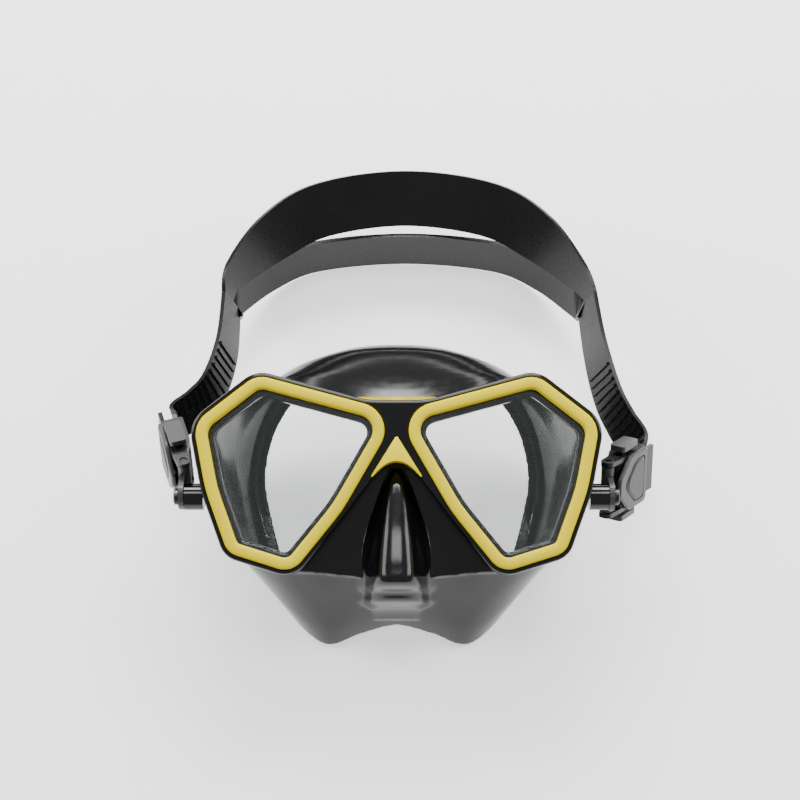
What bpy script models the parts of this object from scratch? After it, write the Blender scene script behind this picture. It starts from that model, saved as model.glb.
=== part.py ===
"""Two-lens dive mask lying on its face skirt, with swivel buckles and a split strap.

Lengths are in millimetres up to the point where a mesh is made, which is in metres.
The mask's own axes: X to the right, Y to the forehead, Z out of the lenses.
A buckle's own axes: X from the yaw pin to the rear, Y across the strap, Z to its outer face.
"""

import math

import bmesh
import bpy
import numpy as np
from mathutils import Vector

MM = 0.001

# Driving dimensions
GAP = 0.3
TILT = 14.0
PLACE = (-4.257, -48.167, 66.303)
LENS_CORNERS = [
    (-0.9, 25.6, 11.5),
    (57.4, 41.4, 10.0),
    (83.2, 21.2, 11.0),
    (77.8, -6.0, 60.0),
    (68.4, -31.5, 8.0),
    (42.3, -39.7, 9.0),
    (22.0, -14.5, 60.0),
]
FRAME_RIM = 2.0
FRAME_DEPTH = 9.0
FRAME_TOP = (12.0, 31.1, 30.0)
NOTCH_LEG = (10.5, -2.0, 15.0)
NOTCH_APEX = (0.0, 14.5, 2.5)
BEZEL_WIDTH = 4.8
BEZEL_PROUD = 0.6
BEZEL_BACK = -2.9
LENS_FRONT = -3.2
LENS_BACK = -6.4
LENS_INSET = 1.6
SEAT_INSET = 8.2
PLATE_FRONT = -9.3
PLATE_BACK = -11.8
WALL = 2.6
FEATHER = 9.4
STATIONS = 3
SWING_PIN = (87.6, -8.0, -9.0)
LUG_RADIUS = 5.5
LUG_ROOT = 79.2
PIN_RADIUS = 2.1
ARM_LENGTH = 9.0
SWING_REST = {"left": 50.0, "right": 27.0}
YAW_REST = {"left": 18.0, "right": 35.0}
STRAP_WIDTH = 20.0
STRAP_THICK = 1.8
RUN_HEIGHT = 2.75
ROLLER_AT = 8.0
CHEEK_IN = 10.4
CHEEK_OUT = 12.4
BUTTON_AT = 12.0
PAWL_AT = 21.0
REAR_BAR_AT = 24.5
TAIL_END = 34.0

# Front edge of the skirt's wall and rim of its face seal, from the forehead down the right side
FRONT_KEYS = [
    (0, 29), (22, 32.5), (45, 38), (66, 33), (78.0, 18), (75, -8),
    (67, -29), (50, -37), (32, -38.5), (16, -40), (0, -41),
]
RIM_KEYS = [
    (0, 57, -45), (24, 55, -47), (46, 46, -52), (62, 29, -58.5), (69, 6, -63), (68.5, -15, -63.4),
    (62, -37, -57.8), (52, -56, -52.8), (36, -71, -49), (18, -71, -46.5), (0, -65, -44.5),
]
# Nose pocket from the bridge to the lip: y, half width, top, base
NOSE = [
    (0.5, 3.0, -7.0, -13.0), (-6, 6.5, -3.0, -13.0), (-16, 9.5, 1.0, -13.0), (-28, 12.5, 5.0, -13.0),
    (-40, 15.0, 7.5, -16.0), (-47, 16.5, 6.0, -22.0), (-52, 18.0, -2.0, -30.0), (-58, 19.0, -16.0, -36.0),
    (-62, 18.0, -28.0, -40.0),
]
NOSE_FLOOR = -40.3
# Strap centre line from each buckle to the split, then its two bands, in world directions from
# the lens plane's centre: point, width direction, width
STEM = {
    "right": [
        ((103, 27, -37), (0.20, 0.45, 0.80)), ((97.5, 36.5, -35.5), (0.32, 0.30, 0.90)),
        ((92, 49, -34), (0.34, 0.22, 0.90)),
        ((87, 70, -31), (0.30, 0.15, 0.93)), ((84.5, 93, -31.5), (0.25, 0.10, 0.95)),
    ],
    "left": [
        ((-94, 35.5, -30), (-0.15, 0.42, 0.82)), ((-86.5, 42.5, -30.5), (-0.28, 0.30, 0.90)),
        ((-79.5, 52, -31), (-0.32, 0.22, 0.90)),
        ((-74.5, 70, -30.5), (-0.30, 0.15, 0.93)), ((-73.5, 93, -31.5), (-0.25, 0.10, 0.95)),
    ],
}
LOOP_MIDDLE = 4.0
UPPER_BAND = [
    ((75.5, 104, -26), (0.25, 0.30, 0.90), 17), ((60, 123, -28.5), (0.35, 0.45, 0.80), 24),
    ((38, 138, -30), (0.20, 0.70, 0.66), 25), ((0, 144.5, -31), (0, 0.80, 0.60), 25),
]
LOWER_BAND = [
    ((77, 100, -46), (0.20, 0.10, 0.97), 18), ((62.5, 116, -52), (0.15, 0.10, 0.98), 23),
    ((41, 126, -53), (0.05, 0.08, 1.0), 24), ((0, 130, -53), (0, 0.08, 1.0), 24),
]


# Scene and material helpers
def clear_scene():
    for obj in list(bpy.data.objects):
        bpy.data.objects.remove(obj)


def material(name, color, roughness, metallic=0.0, alpha=1.0):
    mat = bpy.data.materials.new(name)
    mat.use_nodes = True
    shader = mat.node_tree.nodes["Principled BSDF"]
    shader.inputs["Base Color"].default_value = (*color, 1.0)
    shader.inputs["Roughness"].default_value = roughness
    shader.inputs["Metallic"].default_value = metallic
    shader.inputs["Alpha"].default_value = alpha
    mat.diffuse_color = (*color, alpha)
    return mat


def axes(name, parent=None, place=(0, 0, 0), turn=(0, 0, 0), mirror=False):
    """An empty that holds a group of pieces in their own axes."""
    empty = bpy.data.objects.new(name, None)
    bpy.context.scene.collection.objects.link(empty)
    empty.parent = parent
    empty.location = Vector(place) * MM
    empty.rotation_euler = [math.radians(angle) for angle in turn]
    if mirror:
        empty.scale.x = -1
    return empty


def piece(name, parent, mat, points, faces):
    """A mesh object from points in millimetres, its faces turned outwards."""
    mesh = bpy.data.meshes.new(name)
    mesh.from_pydata([tuple(c * MM for c in p) for p in points], [], faces)
    shape = bmesh.new()
    shape.from_mesh(mesh)
    bmesh.ops.recalc_face_normals(shape, faces=shape.faces)
    shape.to_mesh(mesh)
    shape.free()
    mesh.materials.append(mat)
    mesh.shade_smooth()
    mesh.set_sharp_from_angle(angle=math.radians(35))
    obj = bpy.data.objects.new(name, mesh)
    bpy.context.scene.collection.objects.link(obj)
    obj.parent = parent
    return obj


def boolean(obj, tool, operation):
    """Adds or removes the tool's volume; the tool itself becomes a hidden guide."""
    change = obj.modifiers.new(tool.name, "BOOLEAN")
    if obj.name == "skirt":
        change.solver = "MANIFOLD"
    change.object = tool
    change.operation = operation
    tool.hide_render = True
    tool.display_type = "WIRE"


def add(obj, *tools):
    for tool in tools:
        boolean(obj, tool, "UNION")


def cut(obj, *tools):
    for tool in tools:
        boolean(obj, tool, "DIFFERENCE")


# Outlines
def outline(corners, offset=0.0, arc_step=16.0):
    """A clockwise polygon with round corners (x, y, radius), moved outwards by the offset."""
    spots = [np.array(c[:2], float) for c in corners]
    count = len(spots)
    points = []
    for i, (here, corner) in enumerate(zip(spots, corners)):
        before = here - spots[i - 1]
        after = spots[(i + 1) % count] - here
        before /= np.linalg.norm(before)
        after /= np.linalg.norm(after)
        turn = math.atan2(before[1] * after[0] - before[0] * after[1], before @ after)
        radius = max(corner[2] + math.copysign(offset, turn), 0.3)
        out = np.array([-before[1], before[0]])
        side = math.tan(abs(turn) / 2)
        tip = here + out * offset + before * offset * math.tan(turn / 2)
        start = tip - before * radius * side
        centre = start - out * math.copysign(radius, turn)
        steps = max(1, round(math.degrees(abs(turn)) / arc_step))
        for step in range(steps + 1):
            angle = -turn * step / steps
            c, s = math.cos(angle), math.sin(angle)
            arm = out * math.copysign(radius, turn)
            points.append((centre[0] + arm[0] * c - arm[1] * s, centre[1] + arm[0] * s + arm[1] * c))
    return points


def flat(points, z):
    return [(x, y, z) for x, y in points]


def mirrored(points):
    return [(-p[0], *p[1:]) for p in reversed(points)]


def stack_faces(rows, size):
    faces = [list(range(size)), [(rows - 1) * size + i for i in range(size)]]
    for row in range(rows - 1):
        for i in range(size):
            a, b = row * size + i, row * size + (i + 1) % size
            faces.append([a, b, b + size, a + size])
    return faces


def stack(name, parent, mat, loops):
    """A closed body through loops of equally many points, capped at both ends."""
    points = [p for loop in loops for p in loop]
    return piece(name, parent, mat, points, stack_faces(len(loops), len(loops[0])))


def box(name, parent, mat, low, high):
    (x0, y0, z0), (x1, y1, z1) = low, high
    base = [(x0, y0), (x0, y1), (x1, y1), (x1, y0)]
    return stack(name, parent, mat, [flat(base, z0), flat(base, z1)])


def rod(name, parent, mat, start, end, radius, sides=16):
    """A round bar between two points; radius may be a list for a stepped or tapered bar."""
    start, end = Vector(start), Vector(end)
    turn = (end - start).to_track_quat("Z", "Y")
    radii = radius if isinstance(radius, list) else [(0.0, radius), (1.0, radius)]
    loops = []
    for t, r in radii:
        centre = start.lerp(end, t)
        angles = [2 * math.pi * i / sides for i in range(sides)]
        loops.append([centre + turn @ Vector((r * math.cos(a), r * math.sin(a), 0)) for a in angles])
    return stack(name, parent, mat, loops)


def tube(name, parent, mat, start, end, radius, bore, sides=16):
    """A round bar with a bore right through it."""
    start, end = Vector(start), Vector(end)
    over = (end - start).normalized()
    body = rod(name, parent, mat, start, end, radius, sides)
    cut(body, rod(name + "_bore", parent, mat, start - over, end + over, bore, sides))
    return body


def spline(keys, steps, closed=False):
    """Points on a Catmull-Rom curve through the keys."""
    keys = np.array(keys, float)
    count = len(keys)
    spans = count if closed else count - 1
    found = []
    for i in range(spans):
        at = [(i + k) % count if closed else min(max(i + k, 0), count - 1) for k in (-1, 0, 1, 2)]
        a, b, c, d = keys[at]
        for step in range(steps):
            t = step / steps
            found.append(0.5 * (2 * b + (c - a) * t + (2 * a - 5 * b + 4 * c - d) * t**2
                                + (3 * b - a - 3 * c + d) * t**3))
    if not closed:
        found.append(keys[-1])
    return np.array(found)


# Mask body
def both_sides(keys):
    left = [(-k[0], *k[1:]) for k in reversed(keys[1:-1])]
    return list(keys) + left


def outward(loop):
    """Outward directions, in the mask's plane, at each point of a clockwise loop."""
    along = np.roll(loop, -1, axis=0) - np.roll(loop, 1, axis=0)
    normal = np.stack([-along[:, 1], along[:, 0], np.zeros(len(loop))], axis=1)
    return normal / np.linalg.norm(normal, axis=1)[:, None]


def skirt_loops():
    front = spline([(x, y, -10.5) for x, y in both_sides(FRONT_KEYS)], STATIONS, closed=True)
    rim = spline(both_sides(RIM_KEYS), STATIONS, closed=True)
    return front, rim


def wall_sections(front, rim):
    """Cross-sections of the wall and its seal: down the outside, round the rim, up the inside."""
    out = outward(rim)
    up = np.array([0, 0, 1.0])
    sections = []
    for f, e, n in zip(front, rim, out):
        bulge = n * (1.5 + 3.6 * max(0.0, n[1]) ** 2)
        upper, lower = f + (e - f) * 0.3 + bulge, f + (e - f) * 0.7 + bulge
        sections.append([
            f, upper, lower, e + 0.6 * up, e - 0.8 * up,
            e - n * FEATHER + 0.8 * up, e - n * FEATHER + 2.1 * up, e - n * 3.4 + 1.6 * up,
            lower - n * WALL, upper - n * WALL, f - n * WALL,
        ])
    return sections


def wall_ring(name, parent, mat, sections):
    size = len(sections[0])
    count = len(sections)
    faces = []
    for i in range(count):
        for k in range(size):
            a, b = i * size, (i + 1) % count * size
            faces.append([a + k, a + (k + 1) % size, b + (k + 1) % size, b + k])
    return piece(name, parent, mat, [p for s in sections for p in s], faces)


def nose_loops(shrink=0.0, deeper=0.0):
    loops = []
    for y, half, top, base in NOSE:
        half, top, base = half - shrink, top - shrink, max(base - deeper, NOSE_FLOOR)
        arch = [(-1, 0), (-0.92, 0.55), (-0.6, 0.9), (0, 1), (0.6, 0.9), (0.92, 0.55), (1, 0)]
        loops.append([(half * x, y, base + (top - base) * z) for x, z in arch])
    return loops


def build_skirt(parent, mat):
    front, rim = skirt_loops()
    skirt = wall_ring("skirt", parent, mat, wall_sections(front, rim))
    edge = front + outward(front) * 1.3
    add(skirt, stack("front_plate", parent, mat, [
        [(x, y, PLATE_FRONT) for x, y, _ in edge], [(x, y, PLATE_BACK) for x, y, _ in edge]]))
    seat = outline(LENS_CORNERS, -LENS_INSET - GAP)
    window = outline(LENS_CORNERS, -SEAT_INSET)
    for side, turned in (("right", list), ("left", mirrored)):
        add(skirt, stack(f"seat_{side}", parent, mat, [
            turned(flat(seat, LENS_BACK - GAP)), turned(flat(seat, -10.4))]))
    for side, turned in (("right", list), ("left", mirrored)):
        cut(skirt, stack(f"window_{side}", parent, mat, [
            turned(flat(window, -5.0)), turned(flat(window, -15.0))]))
    add(skirt, stack("nose_pocket", parent, mat, nose_loops()))
    inner = nose_loops(2.2, 7.0)[1:]
    inner[0] = [(x, y + 2.5, z) for x, y, z in inner[0]]
    inner[-1] = [(x, y + 2.2, z) for x, y, z in inner[-1]]
    cut(skirt, stack("nose_hollow", parent, mat, inner))


def frame_corners():
    """The frame's outline: top centre, round the right lens, the nose notch, and back."""
    count = len(LENS_CORNERS)
    right = [FRAME_TOP]
    for i in range(1, count):
        here = np.array(LENS_CORNERS[i][:2])
        before = here - LENS_CORNERS[i - 1][:2]
        after = np.array(LENS_CORNERS[(i + 1) % count][:2]) - here
        before, after = before / np.linalg.norm(before), after / np.linalg.norm(after)
        turn = math.atan2(before[1] * after[0] - before[0] * after[1], before @ after)
        out = np.array([-before[1], before[0]])
        tip = here + out * FRAME_RIM + before * FRAME_RIM * math.tan(turn / 2)
        right.append((tip[0], tip[1], LENS_CORNERS[i][2] + FRAME_RIM))
    right.append(NOTCH_LEG)
    left = [(-x, y, r) for x, y, r in reversed(right)]
    return right + [NOTCH_APEX] + left


def insert_outlines():
    bar = [(-16, 32.6, 1), (16, 32.6, 1), (16, 30.0, 1), (2.6, 29.2, 1), (2.6, 8, 1),
           (-2.6, 8, 1), (-2.6, 29.2, 1), (-16, 30.0, 1)]
    chevron = [(0, 13.4, 2.2), (8.6, -0.6, 1.2), (5.6, -1.4, 0.6), (2.6, 3.2, 1.5), (0, 4.5, 3),
               (-2.6, 3.2, 1.5), (-5.6, -1.4, 0.6), (-8.6, -0.6, 1.2)]
    return bar, chevron


def build_insert(parent, mat):
    bar, chevron = insert_outlines()
    back = -FRAME_DEPTH
    insert = stack("bridge_insert", parent, mat, [
        flat(outline(chevron, -0.4), -1.0), flat(outline(chevron), -1.5), flat(outline(chevron), back)])
    add(insert, stack("insert_bar", parent, mat, [
        flat(outline(bar), -7.2), flat(outline(bar), back - 0.01)]))


def build_frame(parent, mat):
    corners = frame_corners()
    frame = stack("front_frame", parent, mat, [
        flat(outline(corners, -1.0), 0.0), flat(outline(corners, -0.3), -0.35),
        flat(outline(corners), -1.2), flat(outline(corners), -FRAME_DEPTH)])
    pocket = outline(LENS_CORNERS, GAP)
    through = outline(LENS_CORNERS, GAP - LENS_INSET)
    for side, turned, sign in (("right", list, 1), ("left", mirrored, -1)):
        cut(frame, stack(f"lens_pocket_{side}", parent, mat, [
            turned(flat(pocket, 3.0)), turned(flat(pocket, BEZEL_BACK - GAP)),
            turned(flat(through, BEZEL_BACK - GAP - 0.02)), turned(flat(through, -FRAME_DEPTH - 2))]))
        x, y, z = SWING_PIN
        add(frame, rod(f"lug_{side}", parent, mat, (sign * LUG_ROOT, y, z),
                       (sign * (x - 0.6), y, z), LUG_RADIUS, 24))
        cut(frame, rod(f"lug_bore_{side}", parent, mat, (sign * (LUG_ROOT + 1.5), y, z),
                       (sign * (x + 2), y, z), PIN_RADIUS + GAP, 20))
    bar, _ = insert_outlines()
    cut(frame, stack("insert_pocket", parent, mat, [
        flat(outline(bar, GAP), -7.2 + GAP), flat(outline(bar, GAP), -FRAME_DEPTH - 2)]))


def build_lens(side, parent, glass, yellow):
    turned = list if side == "right" else mirrored
    rim = outline(LENS_CORNERS, -LENS_INSET)
    face = outline(LENS_CORNERS, -LENS_INSET - 0.4)
    stack(f"lens_{side}", parent, glass, [
        turned(flat(face, LENS_FRONT)), turned(flat(rim, LENS_FRONT - 0.4)),
        turned(flat(rim, LENS_BACK + 0.4)), turned(flat(face, LENS_BACK))])
    profile = [(0, BEZEL_BACK), (0, 0), (-0.7, BEZEL_PROUD), (-BEZEL_WIDTH + 0.7, BEZEL_PROUD),
               (-BEZEL_WIDTH, 0), (-BEZEL_WIDTH, BEZEL_BACK)]
    rows = [flat(outline(LENS_CORNERS, offset), z) for offset, z in profile]
    sections = [list(column) for column in zip(*rows)]
    if side == "left":
        sections = [[(-x, y, z) for x, y, z in s] for s in sections]
    wall_ring(f"bezel_{side}", parent, yellow, sections)


# Buckle pieces, in the swing pin's axes or the buckle's own axes
def build_arm(side, parent, mat, steel):
    """The arm turns about X on the frame's lug and carries the yaw pin along Y."""
    plate = [(-6.0, -9.0, 1), (-6.0, 2.0, 4), (0.0, 6.0, 6), (6.0, 2.0, 4), (6.0, -9.0, 1)]
    loops = [[(x, y, z) for y, z in outline(plate)] for x in (-0.3, 1.9)]
    arm = stack(f"swivel_arm_{side}", parent, mat, loops)
    add(arm, rod(f"arm_barrel_{side}", parent, mat, (0, -9.9, -ARM_LENGTH), (0, 9.9, -ARM_LENGTH), 2.7))
    cut(arm, rod(f"arm_bore_{side}", parent, mat, (-2, 0, 0), (4, 0, 0), PIN_RADIUS + GAP, 20))
    cut(arm, rod(f"yaw_bore_{side}", parent, mat, (0, -12, -ARM_LENGTH), (0, 12, -ARM_LENGTH), 1.5))
    shank = [(0.0, PIN_RADIUS), (0.82, PIN_RADIUS), (0.821, 3.4), (0.95, 3.4), (1.0, 2.8)]
    rod(f"swivel_pin_{side}", parent, steel, (-5.8, 0, 0), (4.0, 0, 0), shank, 20)


def build_base(side, parent, mat):
    profile = [(-2.8, -2.8, 2.4), (-2.8, 2.8, 2.4), (5.0, 3.6, 4), (26.0, 3.6, 1), (26.0, -5.4, 1),
               (11.0, -5.4, 2), (5.0, -2.8, 2)]
    base = box(f"buckle_base_{side}", parent, mat, (11.4, -11.4, -5.4), (25.5, 11.4, -4.0))
    for name, low, high in (("upper", CHEEK_IN, CHEEK_OUT), ("lower", -CHEEK_OUT, -CHEEK_IN)):
        loops = [[(x, y, z) for x, z in outline(profile)] for y in (low, high)]
        add(base, stack(f"cheek_{name}_{side}", parent, mat, loops))
    add(base, rod(f"rear_bar_{side}", parent, mat, (REAR_BAR_AT, -11.4, 0), (REAR_BAR_AT, 11.4, 0), 1.2, 12))
    for at, radius in ((0.0, 1.5), (ROLLER_AT, 1.1), (PAWL_AT, 1.0)):
        cut(base, rod(f"hole_{at:.0f}_{side}", parent, mat, (at, -14, 0), (at, 14, 0), radius, 16))
    cut(base, box(f"button_slot_{side}", parent, mat, (BUTTON_AT - 1.9, -14, -1.5), (BUTTON_AT + 1.9, 14, 1.5)))


def cover_outlines():
    shell = [(1.5, -3.5, 3), (1.5, 3.5, 3), (10.5, 12.4, 5), (25.5, 12.4, 1.5), (25.5, -12.4, 1.5),
             (10.5, -12.4, 5)]
    window = [(5.0, 0.0, 3.5), (14.5, 9.6, 6), (22.6, 9.6, 1.6), (22.6, -9.6, 1.6), (14.5, -9.6, 6)]
    return shell, window


def build_cover(side, parent, mat, badge_mat):
    shell, window = cover_outlines()
    cover = stack(f"buckle_cover_{side}", parent, mat, [
        flat(outline(shell), 4.0), flat(outline(shell), 5.0), flat(outline(shell, -0.7), 5.6)])
    hole = outline(window)
    cut(cover, stack(f"cover_window_{side}", parent, mat, [flat(hole, 2.0), flat(hole, 8.0)]))
    stack(f"badge_{side}", parent, badge_mat, [
        flat(outline(window, -0.4), 4.1), flat(outline(window, -0.4), 5.5),
        flat(outline(window, -1.3), 6.1)])


def build_buttons(side, parent, mat):
    for name, sign in (("upper", 1), ("lower", -1)):
        low, high = sorted((sign * 14.3, sign * 16.7))
        pad = [(7.0, -3.4, 1.4), (7.0, 3.6, 1.4), (20.0, 3.6, 1.4), (20.0, -3.4, 1.4)]
        loops = [[(x, y, z) for x, z in outline(pad)] for y in (low, high)]
        button = stack(f"release_button_{name}_{side}", parent, mat, loops)
        low, high = sorted((sign * 4.5, sign * 15.0))
        add(button, box(f"stem_{name}_{side}", parent, mat,
                        (BUTTON_AT - 1.5, low, -1.2), (BUTTON_AT + 1.5, high, 1.2)))


def build_spring(side, parent, mat):
    """A compression spring between the two button stems."""
    turns, coil_radius, reach, per_turn = 5, 0.85, 3.8, 8
    curve = bpy.data.curves.new(f"button_spring_{side}", "CURVE")
    curve.dimensions = "3D"
    curve.bevel_depth = 0.22 * MM
    curve.bevel_resolution = 0
    curve.use_fill_caps = True
    line = curve.splines.new("POLY")
    count = turns * per_turn + 1
    line.points.add(count - 1)
    for i in range(count):
        angle = 2 * math.pi * i / per_turn
        y = -reach + 2 * reach * i / (count - 1)
        spot = (BUTTON_AT + coil_radius * math.cos(angle), y, coil_radius * math.sin(angle))
        line.points[i].co = (*(c * MM for c in spot), 1)
    curve.materials.append(mat)
    spring = bpy.data.objects.new(f"button_spring_{side}", curve)
    bpy.context.scene.collection.objects.link(spring)
    spring.parent = parent


def build_pawl(side, parent, mat, steel):
    tip = BUTTON_AT + 2.4
    pawl = box(f"pawl_{side}", parent, mat, (tip, -4, -0.7), (PAWL_AT, 4, 0.7))
    wedge = [(tip, 0.2), (tip, 1.55), (tip + 0.7, 1.55), (tip + 2.2, 0.2)]
    add(pawl, stack(f"pawl_tooth_{side}", parent, mat, [[(x, y, z) for x, z in wedge] for y in (-3.6, 3.6)]))
    add(pawl, rod(f"pawl_hub_{side}", parent, mat, (PAWL_AT, -4.4, 0), (PAWL_AT, 4.4, 0), 1.45, 14))
    cut(pawl, rod(f"pawl_bore_{side}", parent, mat, (PAWL_AT, -6, 0), (PAWL_AT, 6, 0), 1.0, 12))
    rod(f"pawl_pin_{side}", parent, steel, (PAWL_AT, -11.8, 0), (PAWL_AT, 11.8, 0), 0.7, 10)


def build_buckle(side, mask, mats):
    flip = axes(f"side_axes_{side}", mask, mirror=side == "left")
    swing = axes(f"swing_axes_{side}", flip, SWING_PIN, (SWING_REST[side], 0, 0))
    build_arm(side, swing, mats["grey"], mats["steel"])
    turned = axes(f"buckle_axes_{side}", swing, (0, 0, -ARM_LENGTH), (0, 90 - YAW_REST[side], 0))
    rod(f"yaw_pin_{side}", turned, mats["steel"], (0, -12.0, 0), (0, 12.0, 0), 1.2, 14)
    build_base(side, turned, mats["dark"])
    build_cover(side, turned, mats["grey"], mats["badge"])
    build_buttons(side, turned, mats["grey"])
    build_spring(side, turned, mats["steel"])
    build_pawl(side, turned, mats["dark"], mats["steel"])
    tube(f"strap_roller_{side}", turned, mats["dark"], (ROLLER_AT, -10.0, 0), (ROLLER_AT, 10.0, 0), 1.6, 1.05, 14)
    rod(f"roller_pin_{side}", turned, mats["steel"], (ROLLER_AT, -11.9, 0), (ROLLER_AT, 11.9, 0), 0.8, 10)
    return turned


# Strap
def buckle_stations(turned):
    """Centres and width directions of the strap inside a buckle, from the tail to the exit."""
    points = [(x, 0, RUN_HEIGHT) for x in (TAIL_END, 29.0, 24.0, 17.0, 11.0)]
    for i in range(7):
        angle = math.pi * i / 6
        points.append((ROLLER_AT - RUN_HEIGHT * math.sin(angle), 0, RUN_HEIGHT * math.cos(angle)))
    points += [(x, 0, -RUN_HEIGHT) for x in (12.0, 19.0, 26.5, 30.5)]
    bpy.context.view_layer.update()
    to_world = turned.matrix_world
    across = (to_world.to_3x3() @ Vector((0, 1, 0))).normalized()
    return [(to_world @ (Vector(p) * MM) / MM, across, STRAP_WIDTH) for p in points]


def smooth_stations(keys, steps):
    """Stations along a smooth curve through (centre, width direction, width) keys."""
    rows = spline([(*c, *w, width) for c, w, width in keys], steps)
    return [(Vector(r[:3]), Vector(r[3:6]), r[6]) for r in rows]


def section_points(stations, columns):
    """Corner points of each station: for each column, the outer and the inner surface."""
    centres = [s[0] for s in stations]
    found = []
    for i, (centre, across, width) in enumerate(stations):
        along = (centres[min(i + 1, len(centres) - 1)] - centres[max(i - 1, 0)]).normalized()
        across = (across - along * across.dot(along)).normalized()
        normal = along.cross(across)
        for column in columns:
            spot = centre + across * width * column
            found.append([spot + normal * STRAP_THICK / 2, spot - normal * STRAP_THICK / 2])
    return np.array(found).reshape(len(stations), len(columns), 2, 3)


def strip_faces(index):
    """Quads of a strip whose corner numbers are index[station, column, surface]."""
    faces = []
    for a, b in zip(index[:-1], index[1:]):
        for surface in (0, 1):
            for c in range(len(a) - 1):
                faces.append([a[c][surface], a[c + 1][surface], b[c + 1][surface], b[c][surface]])
        for c in (0, -1):
            faces.append([a[c][0], a[c][1], b[c][1], b[c][0]])
    return faces


def end_face(row):
    return [c[0] for c in row] + [c[1] for c in reversed(row)]


def stem_stations(side, turned, centre):
    inside = buckle_stations(turned)
    keys = [(inside[-2][0], inside[-2][1], STRAP_WIDTH), (inside[-1][0], inside[-1][1], STRAP_WIDTH)]
    keys += [(centre + Vector(p), Vector(w), STRAP_WIDTH) for p, w in STEM[side]]
    return inside[:-1] + smooth_stations(keys, 3)[3:]


def band_stations(keys, centre, shift, ends):
    """A band from the right split round the back to the left split, past its shared ends."""
    middle = Vector((LOOP_MIDDLE, 0, 0))
    right = [(centre + middle + Vector(p), Vector(w), width) for p, w, width in keys]
    left = []
    for p, w, width in reversed(keys[:-1]):
        left.append((centre + middle + Vector((-p[0], p[1], p[2])), Vector((-w[0], w[1], w[2])), width))
    start, end = ((c + w.normalized() * shift, w, STRAP_WIDTH / 2) for c, w, _ in ends)
    return smooth_stations([start] + right + left + [end], 4)[1:-1]


def build_strap(world_axes, centre, buckles, mat):
    right = stem_stations("right", buckles["right"], centre)
    left = stem_stations("left", buckles["left"], centre)[::-1]
    ends = (right[-1], left[0])
    upper = band_stations(UPPER_BAND, centre, STRAP_WIDTH / 4, ends)
    lower = band_stations(LOWER_BAND, centre, -STRAP_WIDTH / 4, ends)
    points, blocks = [], []
    for stations, columns in ((right, (-0.5, 0, 0.5)), (left, (-0.5, 0, 0.5)), (upper, (-0.5, 0.5)),
                              (lower, (-0.5, 0.5))):
        found = section_points(stations, columns)
        numbers = np.arange(found.size // 3).reshape(found.shape[:3]) + len(points)
        points += [tuple(p) for p in found.reshape(-1, 3)]
        blocks.append(numbers.tolist())
    stem_right, stem_left, top, bottom = blocks
    faces = strip_faces(stem_right) + strip_faces(stem_left)
    for band, low, high in ((top, 1, 3), (bottom, 0, 2)):
        joined = [stem_right[-1][low:high]] + band + [stem_left[0][low:high]]
        faces += strip_faces(joined)
    faces += [end_face(stem_right[0]), end_face(stem_left[-1])]
    piece("head_strap", world_axes, mat, points, faces)


def main():
    clear_scene()
    mats = {
        "skirt": material("skirt", (0.012, 0.012, 0.013), 0.3),
        "frame": material("frame", (0.01, 0.01, 0.011), 0.18),
        "yellow": material("yellow", (0.8, 0.69, 0.0), 0.4),
        "glass": material("glass", (0.85, 0.9, 0.9), 0.03, alpha=0.25),
        "grey": material("grey", (0.16, 0.16, 0.17), 0.38),
        "dark": material("dark", (0.05, 0.05, 0.055), 0.4),
        "badge": material("badge", (0.13, 0.13, 0.135), 0.45),
        "steel": material("steel", (0.55, 0.55, 0.56), 0.3, 1.0),
        "strap": material("strap", (0.02, 0.02, 0.021), 0.4),
    }
    world_axes = axes("world_axes")
    mask = axes("mask_axes", world_axes, PLACE, (TILT, 0, 0))
    build_skirt(mask, mats["skirt"])
    build_frame(mask, mats["frame"])
    build_insert(mask, mats["yellow"])
    buckles = {}
    for side in ("left", "right"):
        build_lens(side, mask, mats["glass"], mats["yellow"])
        buckles[side] = build_buckle(side, mask, mats)
    build_strap(world_axes, Vector(PLACE), buckles, mats["strap"])


main()
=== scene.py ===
"""The look of the dive mask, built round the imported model."""

import math

import bmesh
import bpy
import numpy as np
from mathutils import Matrix, Vector


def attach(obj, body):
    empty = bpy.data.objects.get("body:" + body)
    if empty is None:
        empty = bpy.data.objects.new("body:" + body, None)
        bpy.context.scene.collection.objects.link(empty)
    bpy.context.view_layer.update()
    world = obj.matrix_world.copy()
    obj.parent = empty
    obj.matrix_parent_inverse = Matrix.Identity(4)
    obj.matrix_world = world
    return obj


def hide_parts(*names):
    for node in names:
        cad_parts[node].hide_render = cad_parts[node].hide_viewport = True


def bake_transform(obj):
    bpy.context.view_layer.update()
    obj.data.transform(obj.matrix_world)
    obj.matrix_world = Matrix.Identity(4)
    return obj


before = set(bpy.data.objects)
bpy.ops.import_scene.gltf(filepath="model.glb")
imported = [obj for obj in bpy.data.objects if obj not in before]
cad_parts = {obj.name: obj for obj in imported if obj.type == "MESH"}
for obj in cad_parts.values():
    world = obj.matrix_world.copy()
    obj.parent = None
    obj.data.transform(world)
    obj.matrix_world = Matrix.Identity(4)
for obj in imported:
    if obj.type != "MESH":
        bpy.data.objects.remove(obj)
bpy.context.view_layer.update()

MM = 0.001
GAP = 0.3
PLACE = Vector((-4.257, -48.167, 66.303))
MASK = Matrix.Translation(PLACE) @ Matrix.Rotation(math.radians(14.0), 4, "X")
LENS_CORNERS = [
    (-0.9, 25.6, 11.5), (57.4, 41.4, 10.0), (83.2, 21.2, 11.0), (77.8, -6.0, 60.0),
    (68.4, -31.5, 8.0), (42.3, -39.7, 9.0), (22.0, -14.5, 60.0),
]
FRAME_RIM = 2.0
FRAME_DEPTH = 9.0
FRAME_TOP = (12.0, 31.1, 30.0)
NOTCH_LEG = (10.5, -2.0, 15.0)
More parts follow.
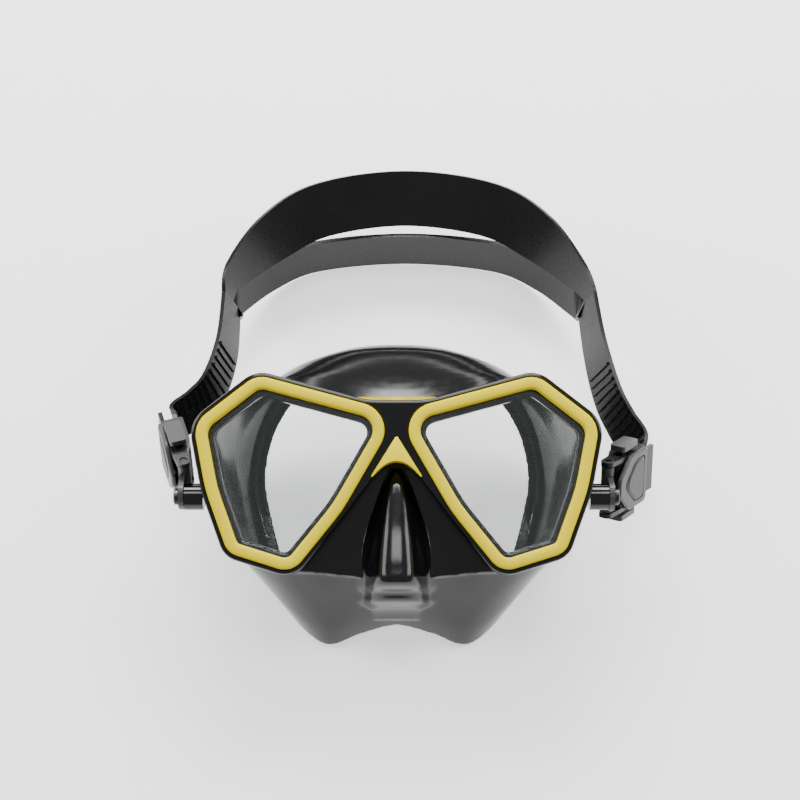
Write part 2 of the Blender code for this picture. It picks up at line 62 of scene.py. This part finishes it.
NOTCH_APEX = (0.0, 14.5, 2.5)
BEZEL_WIDTH, BEZEL_PROUD, BEZEL_BACK = 4.8, 0.6, -2.9
LENS_FRONT, LENS_BACK, LENS_INSET = -3.2, -6.4, 1.6
SEAT_INSET, SEAT_BACK = 7.2, -10.4
PLATE_FRONT, PLATE_BACK = -9.3, -11.8
WINDOW_FROM, WINDOW_TO = -5.0, -15.0
WALL = 2.6
SKIRT_VOXEL, SKIRT_SMOOTHING = 0.8, 9
SWING_PIN = (87.6, -8.0, -9.0)
LUG_RADIUS, LUG_ROOT, PIN_RADIUS = 5.5, 79.2, 2.1
ARM_LENGTH = 9.0
SWING_REST = {"left": 50.0, "right": 27.0}
YAW_REST = {"left": 18.0, "right": 35.0}
STRAP_WIDTH, STRAP_THICK, RUN_HEIGHT = 20.0, 1.8, 2.75
ROLLER_AT, TAIL_END = 8.0, 34.0
FRONT_KEYS = [
    (0, 29), (22, 32.5), (45, 38), (66, 33), (78.0, 18), (75, -8),
    (67, -29), (50, -37), (32, -38.5), (16, -40), (0, -41),
]
RIM_KEYS = [
    (0, 62, -45), (25, 59.5, -47), (46, 49, -52), (61, 30, -58.5), (67, 6, -63), (64, -15, -63.4),
    (57.5, -36, -57.8), (47.5, -54, -52.8), (31, -68.5, -49), (15, -64, -46.5), (0, -60.5, -44.5),
]
STEM = {
    "right": [
        ((103, 27, -37), (0.20, 0.45, 0.80)), ((97.5, 36.5, -35.5), (0.32, 0.30, 0.90)),
        ((92, 49, -34), (0.34, 0.22, 0.90)),
        ((87, 70, -31), (0.30, 0.15, 0.93)), ((84.5, 93, -31.5), (0.25, 0.10, 0.95)),
    ],
    "left": [
        ((-94, 35.5, -30), (-0.15, 0.42, 0.82)), ((-86.5, 42.5, -30.5), (-0.28, 0.30, 0.90)),
        ((-79.5, 52, -31), (-0.32, 0.22, 0.90)),
        ((-74.5, 70, -30.5), (-0.30, 0.15, 0.93)), ((-73.5, 93, -31.5), (-0.25, 0.10, 0.95)),
    ],
}
LOOP_MIDDLE = 4.0
UPPER_BAND = [
    ((75.5, 104, -26), (0.25, 0.30, 0.90), 17), ((60, 123, -28.5), (0.35, 0.45, 0.80), 24),
    ((38, 138, -30), (0.20, 0.70, 0.66), 25), ((0, 144.5, -31), (0, 0.80, 0.60), 25),
]
LOWER_BAND = [
    ((77, 100, -46), (0.20, 0.10, 0.97), 18), ((62.5, 116, -52), (0.15, 0.10, 0.98), 23),
    ((41, 126, -53), (0.05, 0.08, 1.0), 24), ((0, 130, -53), (0, 0.08, 1.0), 24),
]


# Materials: procedural, with a mottled colour, uneven gloss and fine surface relief
def surface(name, color, roughness, spread=0.15, grain=900.0, relief=0.03, scratch=0.0, **sockets):
    mat = bpy.data.materials.new(name)
    mat.use_nodes = True
    nodes, links = mat.node_tree.nodes, mat.node_tree.links
    shader = nodes["Principled BSDF"]
    for key, value in sockets.items():
        shader.inputs[key.replace("_", " ")].default_value = value
    place = nodes.new("ShaderNodeTexCoord")
    broad = nodes.new("ShaderNodeTexNoise")
    broad.inputs["Scale"].default_value = 45.0
    broad.inputs["Detail"].default_value = 6.0
    fine = nodes.new("ShaderNodeTexNoise")
    fine.inputs["Scale"].default_value = grain
    fine.inputs["Detail"].default_value = 4.0
    links.new(place.outputs["Object"], broad.inputs["Vector"])
    links.new(place.outputs["Object"], fine.inputs["Vector"])
    tint = nodes.new("ShaderNodeValToRGB")
    tint.color_ramp.elements[0].position = 0.3
    tint.color_ramp.elements[1].position = 0.7
    tint.color_ramp.elements[0].color = (*[c * (1 - spread) for c in color], 1)
    tint.color_ramp.elements[1].color = (*[c * (1 + spread) for c in color], 1)
    links.new(broad.outputs["Fac"], tint.inputs["Fac"])
    links.new(tint.outputs["Color"], shader.inputs["Base Color"])
    gloss = nodes.new("ShaderNodeMapRange")
    gloss.inputs["From Min"].default_value = 0.3
    gloss.inputs["From Max"].default_value = 0.7
    gloss.inputs["To Min"].default_value = roughness * 0.85
    gloss.inputs["To Max"].default_value = roughness * 1.2
    links.new(fine.outputs["Fac"], gloss.inputs["Value"])
    links.new(gloss.outputs["Result"], shader.inputs["Roughness"])
    bump = nodes.new("ShaderNodeBump")
    bump.inputs["Strength"].default_value = relief
    bump.inputs["Distance"].default_value = 0.0004
    links.new(fine.outputs["Fac"], bump.inputs["Height"])
    links.new(bump.outputs["Normal"], shader.inputs["Normal"])
    return mat


MATS = {
    "skirt": surface("skirt_silicone_black", (0.0025, 0.0025, 0.0028), 0.16, 0.25, 260.0, 0.012,
                     Specular_IOR_Level=0.42),
    "strap": surface("strap_silicone_black", (0.004, 0.004, 0.0043), 0.30, 0.25, 900.0, 0.04,
                     Specular_IOR_Level=0.32),
    "frame": surface("frame_gloss_black", (0.002, 0.002, 0.0022), 0.09, 0.2, 300.0, 0.006,
                     Specular_IOR_Level=0.45),
    "yellow": surface("accent_yellow_satin", (0.74, 0.59, 0.0), 0.42, 0.02, 1200.0, 0.03,
                      Specular_IOR_Level=0.12),
    "glass": surface("lens_glass_clear", (0.95, 0.98, 0.97), 0.015, 0.01, 300.0, 0.004,
                     IOR=1.5, Transmission_Weight=1.0),
    "grey": surface("buckle_grey_satin", (0.035, 0.035, 0.037), 0.36, 0.1, 1600.0, 0.08),
    "dark": surface("buckle_dark_satin", (0.008, 0.008, 0.009), 0.34, 0.1, 1600.0, 0.08),
    "badge": surface("badge_grey_satin", (0.03, 0.03, 0.032), 0.42, 0.1, 1600.0, 0.08),
    "steel": surface("pin_steel_dark", (0.05, 0.05, 0.052), 0.3, 0.08, 1800.0, 0.06, Metallic=1.0),
    "floor": surface("floor_pale", (0.93, 0.93, 0.93), 0.7, 0.01, 60.0, 0.01, Specular_IOR_Level=0.1,
                     Emission_Color=(1.0, 1.0, 1.0, 1.0), Emission_Strength=0.9),
}


# Mesh helpers
def finished(name, mat, points, faces, matrix=None, sharp=40.0):
    mesh = bpy.data.meshes.new(name)
    if matrix is not None:
        points = [matrix @ Vector(p) for p in points]
    mesh.from_pydata([tuple(c * MM for c in p) for p in points], [], faces)
    shape = bmesh.new()
    shape.from_mesh(mesh)
    bmesh.ops.recalc_face_normals(shape, faces=shape.faces)
    shape.to_mesh(mesh)
    shape.free()
    mesh.materials.append(mat)
    mesh.shade_smooth()
    mesh.set_sharp_from_angle(angle=math.radians(sharp))
    obj = bpy.data.objects.new(name, mesh)
    bpy.context.scene.collection.objects.link(obj)
    return obj


def boolean(obj, tool, operation):
    """Adds a boolean modifier to the object and returns its tool."""
    change = obj.modifiers.new(tool.name, "BOOLEAN")
    change.object = tool
    change.operation = operation
    change.solver = "MANIFOLD"
    return tool


def settle(obj, tools=(), sharp=40.0):
    """Applies the modifiers to the mesh and removes the tools."""
    bpy.context.view_layer.update()
    made = bpy.data.meshes.new_from_object(obj.evaluated_get(bpy.context.evaluated_depsgraph_get()))
    obj.modifiers.clear()
    obj.data = made
    made.shade_smooth()
    made.set_sharp_from_angle(angle=math.radians(sharp))
    for tool in tools:
        bpy.data.objects.remove(tool)
    return obj


def outline(corners, offset=0.0, arc_step=5.0):
    """A clockwise polygon with round corners (x, y, radius), moved outwards by the offset."""
    spots = [np.array(c[:2], float) for c in corners]
    count = len(spots)
    points = []
    for i, (here, corner) in enumerate(zip(spots, corners)):
        before = here - spots[i - 1]
        after = spots[(i + 1) % count] - here
        before /= np.linalg.norm(before)
        after /= np.linalg.norm(after)
        turn = math.atan2(before[1] * after[0] - before[0] * after[1], before @ after)
        radius = max(corner[2] + (offset if turn > 0 else -offset), 0.3)
        out = np.array([-before[1], before[0]])
        tip = here + out * offset + before * offset * math.tan(turn / 2)
        start = tip - before * radius * math.tan(abs(turn) / 2)
        arm = out * math.copysign(radius, turn)
        centre = start - arm
        steps = max(2, round(math.degrees(abs(turn)) / arc_step))
        for step in range(steps + 1):
            angle = -turn * step / steps
            c, s = math.cos(angle), math.sin(angle)
            points.append((centre[0] + arm[0] * c - arm[1] * s, centre[1] + arm[0] * s + arm[1] * c))
    return points


def flat(points, z):
    return [(x, y, z) for x, y in points]


def mirrored(points):
    return [(-p[0], *p[1:]) for p in reversed(points)]


def stack(name, mat, loops, matrix=MASK, sharp=40.0):
    """A closed solid through loops of equal length, with flat ends."""
    size = len(loops[0])
    faces = [list(range(size)), [(len(loops) - 1) * size + i for i in range(size)]]
    for row in range(len(loops) - 1):
        for i in range(size):
            a, b = row * size + i, row * size + (i + 1) % size
            faces.append([a, b, b + size, a + size])
    return finished(name, mat, [p for loop in loops for p in loop], faces, matrix, sharp)


def ring(name, mat, sections, matrix=MASK, sharp=40.0):
    """A closed ring through cross-sections of equal length."""
    size, count = len(sections[0]), len(sections)
    faces = []
    for i in range(count):
        for k in range(size):
            a, b = i * size, (i + 1) % count * size
            faces.append([a + k, a + (k + 1) % size, b + (k + 1) % size, b + k])
    return finished(name, mat, [p for s in sections for p in s], faces, matrix, sharp)


def rod(name, mat, start, end, radius, matrix=MASK, sides=48):
    start, end = Vector(start), Vector(end)
    turn = (end - start).to_track_quat("Z", "Y")
    loops = []
    for t in (0.0, 1.0):
        centre = start.lerp(end, t)
        angles = [2 * math.pi * i / sides for i in range(sides)]
        loops.append([centre + turn @ Vector((radius * math.cos(a), radius * math.sin(a), 0))
                      for a in angles])
    return stack(name, mat, loops, matrix)


def spline(keys, steps, closed=False):
    """Points on a Catmull-Rom curve through the keys."""
    keys = np.array(keys, float)
    count = len(keys)
    found = []
    for i in range(count if closed else count - 1):
        at = [(i + k) % count if closed else min(max(i + k, 0), count - 1) for k in (-1, 0, 1, 2)]
        a, b, c, d = keys[at]
        for step in range(steps):
            t = step / steps
            found.append(0.5 * (2 * b + (c - a) * t + (2 * a - 5 * b + 4 * c - d) * t**2
                                + (3 * b - a - 3 * c + d) * t**3))
    if not closed:
        found.append(keys[-1])
    return np.array(found)


# Skirt
def both_sides(keys):
    return list(keys) + [(-k[0], *k[1:]) for k in reversed(keys[1:-1])]


def outward(loop):
    along = np.roll(loop, -1, axis=0) - np.roll(loop, 1, axis=0)
    normal = np.stack([-along[:, 1], along[:, 0], np.zeros(len(loop))], axis=1)
    return normal / np.linalg.norm(normal, axis=1)[:, None]


def wall_sections():
    """Cross-sections of the wall: down its bulging outside, round the seal, up its inside."""
    steps = 14
    front = spline([(x, y, -10.5) for x, y in both_sides(FRONT_KEYS)], steps, closed=True)
    rim = spline(both_sides(RIM_KEYS), steps, closed=True)
    up = np.array([0, 0, 1.0])
    sections = []
    for f, e, n in zip(front, rim, outward(rim)):
        bulge = n * (1.5 + 3.6 * max(0.0, n[1]) ** 2)
        upper, lower = f + (e - f) * 0.3 + bulge, f + (e - f) * 0.7 + bulge
        outer = spline([f, upper, lower, e - n * 0.3 + 0.5 * up], 5)
        lip = [e - n * 0.1 - 0.1 * up, e - n * 0.4 - 0.7 * up, e - n * 4 - 0.3 * up, e - n * 9.0 + 0.8 * up,
               e - n * 9.4 + 1.5 * up, e - n * 9.0 + 2.2 * up, e - n * 4.6 + 1.2 * up, e - n * 3.4 + 1.9 * up]
        inner = spline([e - n * 3.2 + 3.2 * up, lower - n * WALL, upper - n * WALL, f - n * WALL], 5)
        sections.append([*outer, *lip, *inner])
    return front, sections


NOSE_STEPS = 6
# Nose pocket from the bridge to the lip: y, half width, top, base
NOSE = [
    (2.5, 3.5, -7.5, -13.0), (-4, 8.0, -3.5, -13.0), (-14, 12.0, 0.5, -13.0), (-26, 15.5, 4.5, -13.0),
    (-38, 18.5, 7.0, -16.0), (-44, 20.0, 6.6, -22.0), (-47.5, 21.0, -4.0, -28.0), (-51, 22.0, -8.0, -33.0),
    (-54, 20.0, -24.0, -38.0), (-58, 18.0, -33.0, -40.0),
]


def nose_loops(shrink=0.0, deeper=0.0):
    """Cross-sections of the nose pocket: a rounded ridge on sloping flanks."""
    rows = spline(NOSE, NOSE_STEPS)
    loops = []
    for y, half, top, base in rows:
        half, top, base = half - shrink, top - shrink, max(base - deeper, -40.3)
        loop = []
        for i in range(33):
            x = -1 + 2 * i / 32
            ridge = math.exp(-(x / 0.56) ** 6)
            flank = (1 - abs(x) ** 2.4) ** 0.8 if abs(x) < 1 else 0.0
            loop.append((half * x, y, base + (top - base) * flank * (0.55 + 0.45 * ridge)))
        loops.append(loop)
    return loops


def build_skirt():
    mat = MATS["skirt"]
    front, sections = wall_sections()
    skirt = ring("skirt_silicone", mat, sections)
    edge = front + outward(front) * 1.0
    tools = [boolean(skirt, stack("plate", mat, [
        [(x, y, PLATE_FRONT) for x, y, _ in edge], [(x, y, PLATE_BACK) for x, y, _ in edge]]), "UNION")]
    seat, window = outline(LENS_CORNERS, -LENS_INSET - GAP), outline(LENS_CORNERS, -SEAT_INSET)
    for side, turned in (("right", list), ("left", mirrored)):
        tools.append(boolean(skirt, stack(f"seat_{side}", mat, [
            turned(flat(seat, LENS_BACK - GAP)), turned(flat(seat, SEAT_BACK))]), "UNION"))
    for side, turned in (("right", list), ("left", mirrored)):
        tools.append(boolean(skirt, stack(f"window_{side}", mat, [
            turned(flat(window, WINDOW_FROM)), turned(flat(window, WINDOW_TO))]), "DIFFERENCE"))
    tools.append(boolean(skirt, stack("nose", mat, nose_loops()), "UNION"))
    hollow = nose_loops(3.0, 7.0)[NOSE_STEPS:-NOSE_STEPS * 2]
    tools.append(boolean(skirt, stack("hollow", mat, hollow), "DIFFERENCE"))
    settle(skirt, tools)
    remesh = skirt.modifiers.new("remesh", "REMESH")
    remesh.mode = "VOXEL"
    remesh.voxel_size = SKIRT_VOXEL * MM
    smooth = skirt.modifiers.new("smooth", "SMOOTH")
    smooth.factor = 0.5
    smooth.iterations = SKIRT_SMOOTHING
    settle(skirt, sharp=60.0)
    if not skirt.data.materials:
        skirt.data.materials.append(mat)
    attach(skirt, "mask")
    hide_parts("skirt")


# Frame, bezels and lenses
def frame_corners():
    count = len(LENS_CORNERS)
    right = [FRAME_TOP]
    for i in range(1, count):
        here = np.array(LENS_CORNERS[i][:2])
        before = here - LENS_CORNERS[i - 1][:2]
        after = np.array(LENS_CORNERS[(i + 1) % count][:2]) - here
        before, after = before / np.linalg.norm(before), after / np.linalg.norm(after)
        turn = math.atan2(before[1] * after[0] - before[0] * after[1], before @ after)
        out = np.array([-before[1], before[0]])
        tip = here + out * FRAME_RIM + before * FRAME_RIM * math.tan(turn / 2)
        right.append((tip[0], tip[1], LENS_CORNERS[i][2] + FRAME_RIM))
    right.append(NOTCH_LEG)
    return right + [NOTCH_APEX] + [(-x, y, r) for x, y, r in reversed(right)]


def rounded_stack(name, mat, corners, top, bottom, radius):
    """A solid from an outline whose front edge is rounded."""
    loops = []
    for i in range(5):
        angle = math.pi / 2 * i / 4
        inset, drop = radius * (1 - math.sin(angle)), radius * (1 - math.cos(angle))
        loops.append(flat(outline(corners, -inset), top - drop))
    loops.append(flat(outline(corners), bottom))
    return stack(name, mat, loops)


def build_frame():
    mat = MATS["frame"]
    shell = rounded_stack("front_frame_gloss", mat, frame_corners(), 0.0, -FRAME_DEPTH, 1.3)
    tools = []
    pocket, through = outline(LENS_CORNERS, GAP), outline(LENS_CORNERS, GAP - LENS_INSET)
    lip = outline(LENS_CORNERS, GAP + 0.35)
    for side, turned, sign in (("right", list, 1), ("left", mirrored, -1)):
        tools.append(boolean(shell, stack(f"pocket_{side}", mat, [
            turned(flat(lip, 2.0)), turned(flat(lip, 0.05)), turned(flat(pocket, -0.35)),
            turned(flat(pocket, BEZEL_BACK - GAP)), turned(flat(through, BEZEL_BACK - GAP - 0.02)),
            turned(flat(through, -FRAME_DEPTH - 2))]), "DIFFERENCE"))
        x, y, z = SWING_PIN
        tools.append(boolean(shell, rod(f"lug_{side}", mat, (sign * LUG_ROOT, y, z),
                                        (sign * (x - 0.6), y, z), LUG_RADIUS), "UNION"))
        tools.append(boolean(shell, rod(f"lug_bore_{side}", mat, (sign * (LUG_ROOT + 1.5), y, z),
                                        (sign * (x + 2), y, z), PIN_RADIUS + GAP), "DIFFERENCE"))
    settle(shell, tools)
    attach(shell, "mask")
    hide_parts("front_frame")


INSERT_BAR = [(-17.5, 33.2, 1), (17.5, 33.2, 1), (17.5, 30.6, 1), (-17.5, 30.6, 1)]
INSERT_STEM = [(-2.4, 31.6), (2.4, 31.6), (2.4, 9.0), (-2.4, 9.0)]


def build_insert():
    """The chevron at the foot of the bridge, with a concave lower edge, and the bar above the bridge."""
    legs, arch = 9.9, 6.4
    curve = []
    for i in range(1, 16):
        x = legs * (1 - i / 8)
        curve.append((x, -0.6 + arch * (1 - (x / legs) ** 2)))
    chevron = [(-0.9, 15.0), (-0.4, 15.7), (0.4, 15.7), (0.9, 15.0), (legs + 0.5, -0.4), (legs, -0.7)]
    chevron += curve + [(-legs, -0.7), (-legs - 0.5, -0.4)]
    centre = (0.0, 7.5)

    def shrunk(amount):
        return [(centre[0] + (x - centre[0]) * (1 - amount), centre[1] + (y - centre[1]) * (1 - amount))
                for x, y in chevron]
    insert = stack("bridge_insert_satin", MATS["yellow"], [
        flat(shrunk(0.05), 0.75), flat(shrunk(0.0), 0.45), flat(chevron, -7.0)])
    bar = boolean(insert, stack("bar", MATS["yellow"], [
        flat(outline(INSERT_BAR), -7.2), flat(outline(INSERT_BAR), -FRAME_DEPTH)]), "UNION")
    stem = boolean(insert, stack("stem", MATS["yellow"], [
        flat(INSERT_STEM, -5.0), flat(INSERT_STEM, -FRAME_DEPTH + 0.1)]), "UNION")
    settle(insert, [bar, stem])
    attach(insert, "mask")
    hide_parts("bridge_insert")


def build_lens(side):
    turned = list if side == "right" else mirrored
    rim, face = outline(LENS_CORNERS, -LENS_INSET), outline(LENS_CORNERS, -LENS_INSET - 0.35)
    lens = stack(f"lens_glass_{side}", MATS["glass"], [
        turned(flat(face, LENS_FRONT)), turned(flat(rim, LENS_FRONT - 0.35)),
        turned(flat(rim, LENS_BACK + 0.35)), turned(flat(face, LENS_BACK))], sharp=20.0)
    profile = [(0, BEZEL_BACK), (0, -0.1), (-0.25, 0.35), (-0.8, BEZEL_PROUD), (-2.4, BEZEL_PROUD + 0.05),
               (-BEZEL_WIDTH + 0.9, BEZEL_PROUD), (-BEZEL_WIDTH + 0.25, 0.25), (-BEZEL_WIDTH, -0.3),
               (-BEZEL_WIDTH, BEZEL_BACK)]
    rows = [flat(outline(LENS_CORNERS, offset), z) for offset, z in profile]
    sections = [list(column) for column in zip(*rows)]
    if side == "left":
        sections = [[(-x, y, z) for x, y, z in s] for s in sections]
    bezel = ring(f"bezel_satin_{side}", MATS["yellow"], sections)
    for piece, node, slot in ((lens, f"lens_{side}", "lens_glass"), (bezel, f"bezel_{side}", "accent_yellow")):
        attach(piece, "mask")
        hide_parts(node)


# Strap
def buckle_matrix(side):
    flip = Matrix.Diagonal((-1, 1, 1, 1)) if side == "left" else Matrix.Identity(4)
    swing = Matrix.Translation(SWING_PIN) @ Matrix.Rotation(math.radians(SWING_REST[side]), 4, "X")
    turn = Matrix.Translation((0, 0, -ARM_LENGTH)) @ Matrix.Rotation(math.radians(90 - YAW_REST[side]), 4, "Y")
    return MASK @ flip @ swing @ turn


def buckle_stations(side):
    points = [(x, 0, RUN_HEIGHT) for x in (TAIL_END, 29.0, 24.0, 17.0, 11.0)]
    for i in range(7):
        angle = math.pi * i / 6
        points.append((ROLLER_AT - RUN_HEIGHT * math.sin(angle), 0, RUN_HEIGHT * math.cos(angle)))
    points += [(x, 0, -RUN_HEIGHT) for x in (12.0, 19.0, 26.5, 30.5)]
    to_world = buckle_matrix(side)
    across = (to_world.to_3x3() @ Vector((0, 1, 0))).normalized()
    return [(to_world @ Vector(p), across, STRAP_WIDTH) for p in points]


def smooth_stations(keys, steps):
    rows = spline([(*c, *w, width) for c, w, width in keys], steps)
    return [(Vector(r[:3]), Vector(r[3:6]), r[6]) for r in rows]


def section_points(stations, columns, thick=STRAP_THICK):
    centres = [s[0] for s in stations]
    found = []
    for i, (centre, across, width) in enumerate(stations):
        along = (centres[min(i + 1, len(centres) - 1)] - centres[max(i - 1, 0)]).normalized()
        across = (across - along * across.dot(along)).normalized()
        normal = along.cross(across)
        for column in columns:
            spot = centre + across * width * column
            found.append([spot + normal * thick / 2, spot - normal * thick / 2])
    return np.array(found).reshape(len(stations), len(columns), 2, 3)


def strip_faces(index):
    faces = []
    for a, b in zip(index[:-1], index[1:]):
        for side in (0, 1):
            for c in range(len(a) - 1):
                faces.append([a[c][side], a[c + 1][side], b[c + 1][side], b[c][side]])
        for c in (0, -1):
            faces.append([a[c][0], a[c][1], b[c][1], b[c][0]])
    return faces


def stem_stations(side):
    inside = buckle_stations(side)
    keys = [(inside[-2][0], inside[-2][1], STRAP_WIDTH), (inside[-1][0], inside[-1][1], STRAP_WIDTH)]
    keys += [(PLACE + Vector(p), Vector(w), STRAP_WIDTH) for p, w in STEM[side]]
    return inside[:-1] + smooth_stations(keys, 12)[12:]


def band_stations(keys, shift, ends):
    middle = Vector((LOOP_MIDDLE, 0, 0))
    right = [(PLACE + middle + Vector(p), Vector(w), width) for p, w, width in keys]
    left = []
    for p, w, width in reversed(keys[:-1]):
        left.append((PLACE + middle + Vector((-p[0], p[1], p[2])), Vector((-w[0], w[1], w[2])), width))
    start, end = ((c + w.normalized() * shift, w, STRAP_WIDTH / 2) for c, w, _ in ends)
    return smooth_stations([start] + right + left + [end], 14)[1:-1]


RIB_COUNT, RIB_PITCH = 13, 3.4
RIB_START, RIB_SLANT, RIB_ROOM = 3, 3.0, 6
HEAD_MIDDLE = PLACE + Vector((0, 90, -35))


def build_strap(side):
    """One half of the strap: the run through the buckle, the stem with its ribs, and half of both bands."""
    stem = stem_stations(side)
    if side == "left":
        stem = stem[::-1]
    ends = (stem_stations("right")[-1], stem_stations("left")[-1])
    upper = band_stations(UPPER_BAND, STRAP_WIDTH / 4, ends)
    lower = band_stations(LOWER_BAND, -STRAP_WIDTH / 4, ends)
    half = len(upper) // 2
    kept = slice(0, half + 1) if side == "right" else slice(half, None)
    points, blocks = [], []
    for stations, columns, part in ((stem, (-0.5, 0, 0.5), slice(None)), (upper, (-0.5, 0.5), kept),
                                    (lower, (-0.5, 0.5), kept)):
        found = section_points(stations, columns)[part]
        numbers = np.arange(found.size // 3).reshape(found.shape[:3]) + len(points)
        points += [tuple(p) for p in found.reshape(-1, 3)]
        blocks.append(numbers.tolist())
    rows, top, bottom = blocks
    faces = strip_faces(rows)
    join, open_end = (-1, 0) if side == "right" else (0, -1)
    for band, low, high in ((top, 1, 3), (bottom, 0, 2)):
        if side == "right":
            faces += strip_faces([rows[join][low:high]] + band)
        else:
            faces += strip_faces(band + [rows[join][low:high]])
        free = band[-1] if side == "right" else band[0]
        faces.append([c[0] for c in free] + [c[1] for c in reversed(free)])
    row = rows[open_end]
    faces.append([c[0] for c in row] + [c[1] for c in reversed(row)])
    add_ribs(side, points, faces)
    strap = finished(f"head_strap_{side}_half", MATS["strap"], points, faces)
    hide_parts("head_strap")
    exit_spot = buckle_stations(side)[-1][0] * MM
    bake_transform(strap)


def add_ribs(side, points, faces):
    """Slanted grip ribs on the inner face of the strap, from just past the buckle."""
    stem = stem_stations(side)[len(buckle_stations(side)) - 1:]
    centres = [s[0] for s in stem]
    travel = [0.0]
    for a, b in zip(centres, centres[1:]):
        travel.append(travel[-1] + (b - a).length)

    def at(distance):
        k = max(i for i, t in enumerate(travel[:-1]) if t <= distance)
        t = (distance - travel[k]) / (travel[k + 1] - travel[k])
        along = (centres[k + 1] - centres[k]).normalized()
        across = stem[k][1].lerp(stem[k + 1][1], t)
        across = (across - along * across.dot(along)).normalized()
        return centres[k].lerp(centres[k + 1], t), along, across
    for n in range(RIB_COUNT):
        if RIB_START + n * RIB_PITCH + RIB_ROOM > travel[-1]:
            break
        base = len(points)
        for step in range(7):
            u = -0.42 + 0.84 * step / 6
            spot, along, across = at(RIB_START + n * RIB_PITCH + (u + 0.42) * RIB_SLANT)
            normal = along.cross(across).normalized()
            if normal.dot(HEAD_MIDDLE - spot) < 0:
                normal = -normal
            spot = spot + across * STRAP_WIDTH * u
            for a, h in ((-0.65, 0.6), (0.65, 0.6), (0.45, 1.75), (-0.45, 1.75)):
                points.append(tuple(spot + along * a + normal * h))
        for step in range(6):
            for c in range(4):
                p, q = base + step * 4 + c, base + step * 4 + (c + 1) % 4
                faces.append([p, q, q + 4, p + 4])
        faces.append([base, base + 1, base + 2, base + 3])
        faces.append([base + 24, base + 25, base + 26, base + 27])


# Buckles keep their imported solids, with rounded edges and their own finish
def finish_solids():
    looks = {
        "swivel_arm": "grey", "swivel_pin": "steel", "yaw_pin": "steel",
        "buckle_base": "dark", "buckle_cover": "grey", "badge": "badge", "release_button": "grey",
        "button_spring": "steel", "pawl": "dark", "pawl_pin": "steel", "strap_roller": "dark",
        "roller_pin": "steel",
    }
    replaced = ("skirt", "front_frame", "lens_", "bezel_", "head_strap", "bridge_insert")
    for name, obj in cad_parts.items():
        if name.startswith(replaced):
            continue
        look = max((k for k in looks if name.startswith(k)), key=len)
        obj.data.materials.clear()
        obj.data.materials.append(MATS[looks[look]])
        if name.startswith(("swivel_arm", "buckle_base", "buckle_cover", "badge", "release_button")):
            bevel = obj.modifiers.new("edge", "BEVEL")
            bevel.width = 0.35 * MM
            bevel.segments = 3
            bevel.limit_method = "ANGLE"
            bevel.angle_limit = math.radians(40)


# Floor, lights and camera
def build_stage():
    floor = finished("floor", MATS["floor"], [
        (-3000, -3000, 0), (3000, -3000, 0), (3000, 3000, 0), (-3000, 3000, 0)], [[0, 1, 2, 3]])
    world = bpy.data.worlds.new("studio")
    bpy.context.scene.world = world
    world.use_nodes = True
    world.node_tree.nodes["Background"].inputs["Color"].default_value = (0.9, 0.92, 0.95, 1)
    world.node_tree.nodes["Background"].inputs["Strength"].default_value = 0.5
    lamps = [
        ("back", (0.0, 0.9, 0.75), (0.9, 0.4), 24.0),
        ("left", (-0.85, 0.25, 0.6), (0.5, 0.5), 5.0),
        ("right", (0.85, 0.25, 0.6), (0.5, 0.5), 5.0),
        ("top", (0.0, 0.25, 1.1), (0.5, 0.3), 4.0),
    ]
    for name, place, size, watts in lamps:
        lamp = bpy.data.lights.new(name, "AREA")
        lamp.shape = "RECTANGLE"
        lamp.size, lamp.size_y = size
        lamp.energy = watts
        obj = bpy.data.objects.new(name, lamp)
        obj.location = place
        obj.rotation_euler = (Vector((0, 0, 0.03)) - Vector(place)).to_track_quat("-Z", "Y").to_euler()
        bpy.context.scene.collection.objects.link(obj)


def build_camera():
    """The view from the chin side, 68 degrees above the floor."""
    elevation = math.radians(68)
    distance, below, beside = 700.0, 30.6, 1.4
    ahead = Vector((0, math.cos(elevation), -math.sin(elevation)))
    above = Vector((0, math.sin(elevation), math.cos(elevation)))
    spot = PLACE - ahead * distance + above * below + Vector((beside, 0, 0))
    data = bpy.data.cameras.new("camera")
    data.sensor_width = 36.0
    data.lens = 77.4
    camera = bpy.data.objects.new("camera", data)
    camera.location = spot * MM
    camera.rotation_euler = ahead.to_track_quat("-Z", "Y").to_euler()
    bpy.context.scene.collection.objects.link(camera)
    bpy.context.scene.camera = camera


build_stage()
build_camera()
build_skirt()
build_frame()
build_insert()
for lens_side in ("left", "right"):
    build_lens(lens_side)
for strap_side in ("left", "right"):
    build_strap(strap_side)
finish_solids()
